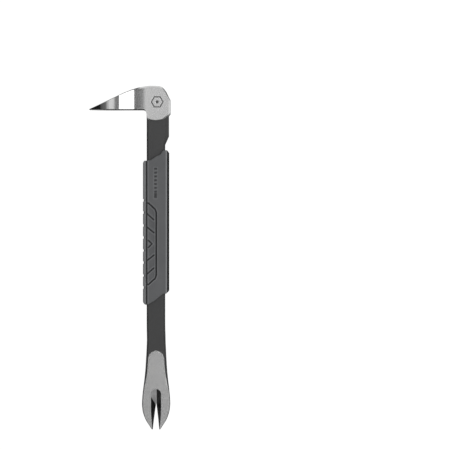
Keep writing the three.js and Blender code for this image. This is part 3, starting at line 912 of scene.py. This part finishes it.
# [upward part of the direction, brightness]
ROOM = [
    (-0.95, 0.03), (-0.8, 0.5), (-0.2, 0.5), (-0.1, 0.03), (0.1, 0.03), (0.2, 0.6), (0.58, 0.6), (0.68, 0.03),
]
FRAME_WIDTH, DISTANCE, FOCUS_Z, SENSOR_WIDTH = 0.36675, 2.0, 0.017, 36
CAMERA_XY = (0.07774, 0.0265)


def plain_material(name, colour, roughness):
    """An even material for the stage."""
    material = bpy.data.materials.new(name)
    material.use_nodes = True
    shader = material.node_tree.nodes["Principled BSDF"]
    shader.inputs["Base Color"].default_value = (*colour, 1)
    shader.inputs["Roughness"].default_value = roughness
    return material


def light_up(obj, material, glow):
    """Makes a stage object glow, and keeps it out of reflections, bounced light and shadows."""
    shader = material.node_tree.nodes["Principled BSDF"]
    shader.inputs["Emission Color"].default_value = (1, 1, 1, 1)
    shader.inputs["Emission Strength"].default_value = glow
    material.cycles.emission_sampling = "NONE"
    obj.data.materials.append(material)
    obj.visible_glossy = False
    obj.visible_diffuse = False
    obj.visible_shadow = False


def make_floor():
    """A pale floor that glows a little, so that shadows on it stay light."""
    bpy.ops.mesh.primitive_plane_add(size=8, location=(0, 0, -0.0002))
    floor = bpy.context.object
    floor.name = "floor"
    light_up(floor, plain_material("pale_floor", (0.12, 0.12, 0.12), 0.9), 0.97)


def make_backdrop():
    """A pale dome far behind the floor, seen only by the camera."""
    bpy.ops.mesh.primitive_uv_sphere_add(segments=48, ring_count=24, radius=6, location=(0, 0, 0))
    dome = bpy.context.object
    dome.name = "backdrop"
    light_up(dome, plain_material("pale_backdrop", (0, 0, 0), 1.0), 1.0)


def make_flag():
    """A black card to the left of the head claw, seen only in reflections, which darkens its tip."""
    bpy.ops.mesh.primitive_plane_add(size=1, location=FLAG_AT, rotation=(0, math.pi / 2, 0))
    flag = bpy.context.object
    flag.name = "black_flag"
    flag.scale = (*FLAG_SIZE, 1)
    flag.data.materials.append(plain_material("black_card", (0, 0, 0), 1.0))
    flag.visible_camera = False
    flag.visible_diffuse = False
    flag.visible_shadow = False


def make_surroundings():
    """A dim room with a pale band of wall all round and a pale bench below, both dark near the horizon."""
    world = bpy.data.worlds.new("studio")
    world.use_nodes = True
    tree = world.node_tree
    direction = tree.nodes.new("ShaderNodeTexCoord").outputs["Generated"]
    split = tree.nodes.new("ShaderNodeSeparateXYZ")
    height = tree.nodes.new("ShaderNodeMapRange")
    ramp = tree.nodes.new("ShaderNodeValToRGB")
    tree.links.new(direction, split.inputs[0])
    tree.links.new(split.outputs[2], height.inputs[0])
    height.inputs[1].default_value = -1
    tree.links.new(height.outputs[0], ramp.inputs[0])
    tree.links.new(ramp.outputs[0], tree.nodes["Background"].inputs["Color"])
    while len(ramp.color_ramp.elements) < len(ROOM):
        ramp.color_ramp.elements.new(0.5)
    for element, (at, grey) in zip(ramp.color_ramp.elements, ROOM):
        element.position = (at + 1) / 2
        element.color = (grey, grey, grey, 1)
    scene.world = world


def area_light(name, at, aim, size, radiance):
    """A rectangular light whose surface has the given radiance."""
    data = bpy.data.lights.new(name, "AREA")
    data.shape = "RECTANGLE"
    data.size, data.size_y = size
    data.energy = radiance * math.pi * size[0] * size[1]
    light = bpy.data.objects.new(name, data)
    light.location = at
    light.rotation_euler = (Vector(aim) - Vector(at)).to_track_quat("-Z", "Y").to_euler()
    light.visible_camera = False
    scene.collection.objects.link(light)
    return light


def flat_light(name, x0, x1, y0, y1, z, radiance):
    """A light lying level at height z and facing down, between two corners."""
    middle = ((x0 + x1) / 2, (y0 + y1) / 2)
    return area_light(name, (*middle, z), (*middle, 0), (x1 - x0, y1 - y0), radiance)


def make_lights():
    """Level panels over the bar, whose reflections make the steel's bands, and two lights at the sides."""
    for k, (x0, x1, radiance) in enumerate(FADE):
        flat_light(f"overhead_fade_{k}", x0, x1, PANEL_SPLIT, PANEL_END, PANEL_Z, radiance)
    flat_light("overhead_head", -0.5, PANEL_EDGE, PANEL_SPLIT, PANEL_END, PANEL_Z, 0.95)
    flat_light("overhead_claw", -0.5, PANEL_EDGE, -PANEL_END, PANEL_SPLIT, PANEL_Z, 0.32)
    flat_light("overhead_gap", PANEL_EDGE, 0.3, -PANEL_END, PANEL_END, PANEL_Z, 0.2)
    flat_light("soft_right", 0.3, 1.5, -PANEL_END, PANEL_END, PANEL_Z, 2.4)
    area_light("low_right", (2.4, 0.1, 1.0), (0, 0, 0), (1.4, 2.4), 0.45)
    area_light("far_end", (-0.1, 2.2, 1.5), (0, 0.1, 0), (2.4, 1.4), 0.45)


def make_camera():
    """Looks straight down on the side of the bar."""
    data = bpy.data.cameras.new("camera")
    data.sensor_width = SENSOR_WIDTH
    data.lens = SENSOR_WIDTH * DISTANCE / FRAME_WIDTH
    camera = bpy.data.objects.new("camera", data)
    camera.location = (*CAMERA_XY, FOCUS_Z + DISTANCE)
    scene.collection.objects.link(camera)
    scene.camera = camera


make_floor()
make_backdrop()
make_flag()
make_lights()
make_surroundings()
scene.view_settings.view_transform = "Standard"
make_camera()
